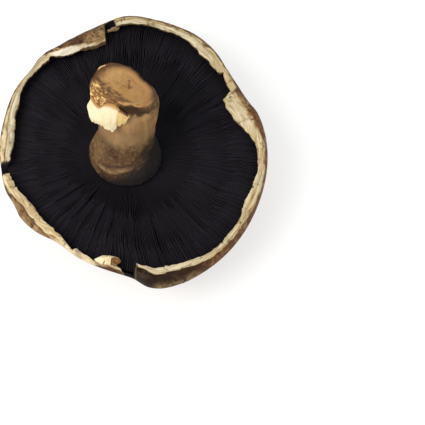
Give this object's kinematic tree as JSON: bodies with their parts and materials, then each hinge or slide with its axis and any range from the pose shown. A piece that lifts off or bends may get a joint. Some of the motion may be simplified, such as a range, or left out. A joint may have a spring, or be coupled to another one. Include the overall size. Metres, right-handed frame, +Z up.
{
  "type": "portobello mushroom",
  "caption": "Open flat-capped mushroom lying on its crown, with dark gills, a curled torn margin and a thick leaning stem broken at its end.",
  "frame": {"origin": "middle of the small flat on the crown of the cap, on the surface that the mushroom lies on", "axes": "+Z up, from the crown through the gills to the stem; +Y towards the side that the stem leans to, along the cap's longer width; +X to the right, seen with the stem leaning away"},
  "size_m": [0.12, 0.137, 0.0671],
  "materials": {
    "flesh": "matte",
    "cap_skin": "satin",
    "gills": "matte",
    "stem": "matte"
  },
  "bodies": {
    "root": {"mushroom": "flesh"}
  },
  "joints": []
}
